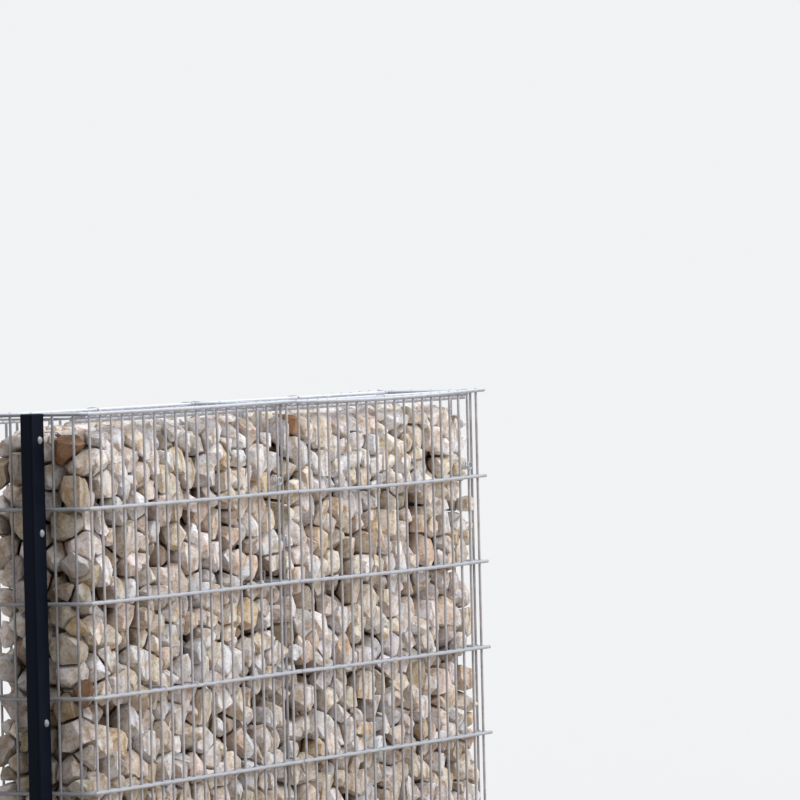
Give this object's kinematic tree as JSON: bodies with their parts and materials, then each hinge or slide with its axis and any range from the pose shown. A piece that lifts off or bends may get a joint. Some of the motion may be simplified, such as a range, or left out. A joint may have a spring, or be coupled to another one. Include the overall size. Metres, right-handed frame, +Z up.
{
  "type": "gabion wall",
  "caption": "Free-standing gabion wall: welded double-rod mesh cages in a row, filled with broken limestone, with a box post at one end.",
  "frame": {"origin": "bottom centre of the whole wall, on the ground", "axes": "+X along the wall, away from the post; +Y from the front to the back; +Z up"},
  "size_m": [2.089, 0.28, 1.0386],
  "materials": {
    "galvanised_wire": "hot-dip galvanised, dull",
    "limestone": "broken limestone, cream to tan",
    "post_coating": "powder coat, anthracite blue",
    "cap_plastic": "black plastic"
  },
  "bodies": {
    "root": {"front_mesh_bay_1": "galvanised_wire", "front_mesh_bay_2": "galvanised_wire", "left_end_mesh": "galvanised_wire", "lid_mesh_bay_1": "galvanised_wire", "lid_mesh_bay_2": "galvanised_wire", "partition_mesh_1": "galvanised_wire", "post": "post_coating", "post_cap": "cap_plastic", "post_cover_strip": "post_coating", "rear_mesh_bay_1": "galvanised_wire", "rear_mesh_bay_2": "galvanised_wire", "right_end_mesh": "galvanised_wire", "spacer_wires_bay_1_level_3": "galvanised_wire", "stone_lift_bay_1_level_1": "limestone", "stone_lift_bay_1_level_2": "limestone", "stone_lift_bay_1_level_3": "limestone", "stone_lift_bay_1_level_4": "limestone", "stone_lift_bay_1_level_5": "limestone", "stone_lift_bay_2_level_1": "limestone", "stone_lift_bay_2_level_2": "limestone", "stone_lift_bay_2_level_3": "limestone", "stone_lift_bay_2_level_4": "limestone", "stone_lift_bay_2_level_5": "limestone"}
  },
  "joints": []
}
